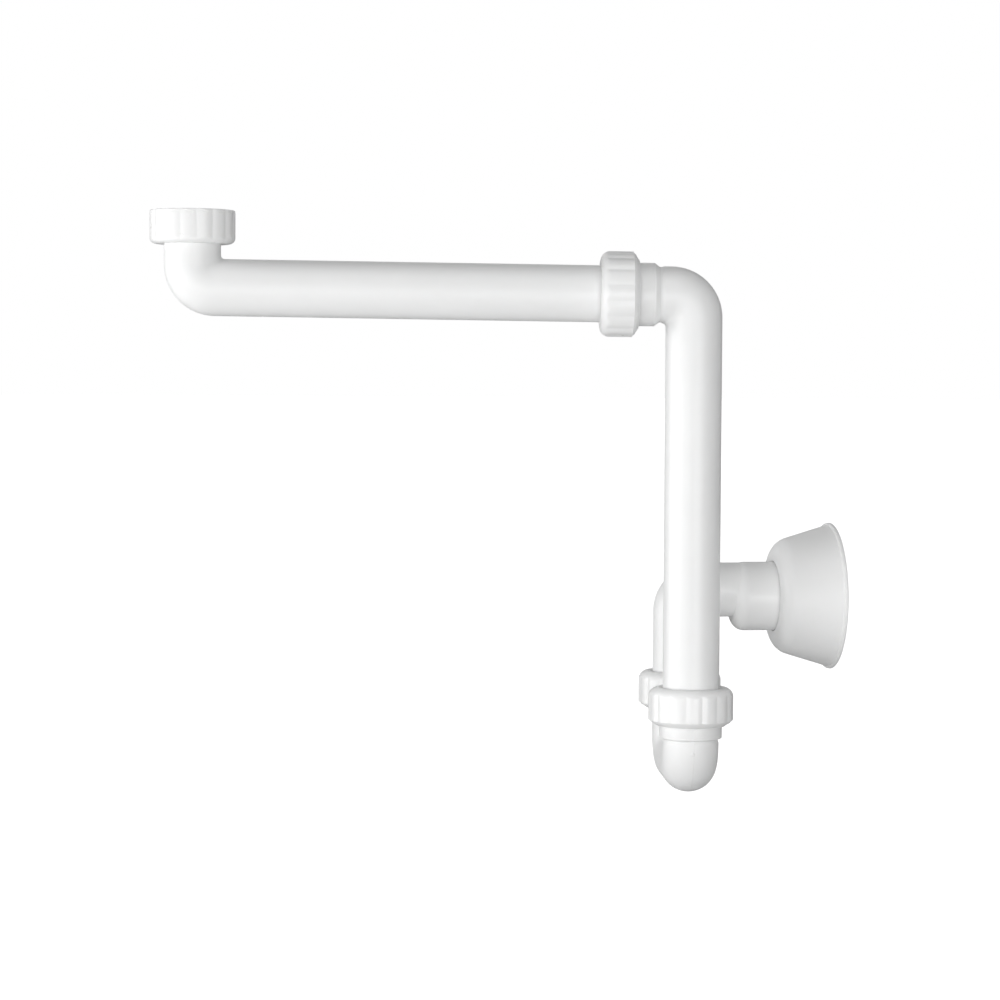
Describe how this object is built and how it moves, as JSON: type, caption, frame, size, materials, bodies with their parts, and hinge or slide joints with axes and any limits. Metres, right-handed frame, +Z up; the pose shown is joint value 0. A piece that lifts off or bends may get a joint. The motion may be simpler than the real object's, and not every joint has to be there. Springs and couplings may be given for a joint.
{
  "type": "washbasin trap",
  "caption": "White plastic washbasin trap: a union nut on a swivelling, telescoping arm, a drop pipe, a U-bend holding the water seal, and a wall outlet with a rosette.",
  "frame": {"origin": "on the inlet's vertical axis where the inlet nut's thread starts, half a millimetre above the gasket", "axes": "+Z up out of the inlet towards the basin, +X along the arm from the inlet to the drop pipe, +Y from the drop pipe towards the riser behind it"},
  "size_m": [0.4011, 0.1343, 0.3303],
  "materials": {
    "white_plastic": "satin moulded polypropylene",
    "slip_ring_plastic": "matt natural polyethylene",
    "seal_rubber": "matt moulded rubber"
  },
  "bodies": {
    "inlet_nut": {"inlet_nut": "white_plastic"},
    "arm": {"inlet_pipe": "white_plastic", "inlet_gasket": "seal_rubber"},
    "arm_seal": {"arm_seal": "seal_rubber"},
    "drop": {"drop_pipe": "white_plastic"},
    "arm_slip_ring": {"arm_slip_ring": "slip_ring_plastic"},
    "arm_nut": {"arm_nut": "white_plastic"},
    "trap_inlet_seal": {"trap_inlet_seal": "seal_rubber"},
    "trap": {"u_bend": "white_plastic"},
    "trap_inlet_slip_ring": {"trap_inlet_slip_ring": "slip_ring_plastic"},
    "trap_inlet_nut": {"trap_inlet_nut": "white_plastic"},
    "trap_outlet_seal": {"trap_outlet_seal": "seal_rubber"},
    "outlet": {"outlet_bend": "white_plastic"},
    "trap_outlet_slip_ring": {"trap_outlet_slip_ring": "slip_ring_plastic"},
    "trap_outlet_nut": {"trap_outlet_nut": "white_plastic"},
    "rosette": {"wall_rosette": "white_plastic"}
  },
  "joints": [
    {"name": "arm_swivel", "type": "hinge", "parent": "inlet_nut", "child": "arm", "pos_m": [0, 0, 0], "axis": [0, 0, 1], "continuous": true},
    {"name": "arm_extension", "type": "slide", "parent": "arm", "child": "arm_seal", "axis": [0.9999, 0, -0.0105], "range_m": [-0.002, 0.014]},
    {"name": "drop_swivel", "type": "hinge", "parent": "arm_seal", "child": "drop", "pos_m": [0.2837, 0, -0.03417], "axis": [0.9999, 0, -0.0105], "continuous": true},
    {"name": "arm_nut_travel", "type": "slide", "parent": "drop", "child": "arm_slip_ring", "axis": [-0.9999, 0, 0.0105], "range_m": [0, 0.01155]},
    {"name": "arm_nut_turn", "type": "hinge", "parent": "arm_slip_ring", "child": "arm_nut", "pos_m": [0.2837, 0, -0.03417], "axis": [-0.9999, 0, 0.0105], "range_deg": [0, 1800]},
    {"name": "trap_height", "type": "slide", "parent": "drop", "child": "trap_inlet_seal", "axis": [0, 0, 1], "range_m": [-0.012, 0.0018]},
    {"name": "trap_swivel", "type": "hinge", "parent": "trap_inlet_seal", "child": "trap", "pos_m": [0.2837, 0, -0.25677], "axis": [0, 0, 1], "continuous": true},
    {"name": "trap_inlet_nut_travel", "type": "slide", "parent": "trap", "child": "trap_inlet_slip_ring", "axis": [0, 0, 1], "range_m": [0, 0.01155]},
    {"name": "trap_inlet_nut_turn", "type": "hinge", "parent": "trap_inlet_slip_ring", "child": "trap_inlet_nut", "pos_m": [0.2837, 0, -0.25677], "axis": [0, 0, 1], "range_deg": [0, 1800]},
    {"name": "outlet_swivel", "type": "hinge", "parent": "trap", "child": "trap_outlet_seal", "pos_m": [0.28175, 0.05597, -0.25307], "axis": [0, 0, 1], "range_deg": [-30, 180]},
    {"name": "outlet_height", "type": "slide", "parent": "trap_outlet_seal", "child": "outlet", "axis": [0, 0, 1], "range_m": [-0.0018, 0.012]},
    {"name": "trap_outlet_nut_travel", "type": "slide", "parent": "trap", "child": "trap_outlet_slip_ring", "axis": [0, 0, 1], "range_m": [0, 0.01155]},
    {"name": "trap_outlet_nut_turn", "type": "hinge", "parent": "trap_outlet_slip_ring", "child": "trap_outlet_nut", "pos_m": [0.28175, 0.05597, -0.25307], "axis": [0, 0, 1], "range_deg": [0, 1800]},
    {"name": "rosette_slide", "type": "slide", "parent": "outlet", "child": "rosette", "axis": [0.9925, 0.1219, 0], "range_m": [-0.0175, 0.01]}
  ],
  "couplings": [
    {"joint": "arm_nut_travel", "follows": "arm_nut_turn", "m_per_rad": 0.00036749},
    {"joint": "trap_inlet_nut_travel", "follows": "trap_inlet_nut_turn", "m_per_rad": 0.00036749},
    {"joint": "trap_outlet_nut_travel", "follows": "trap_outlet_nut_turn", "m_per_rad": 0.00036749}
  ]
}
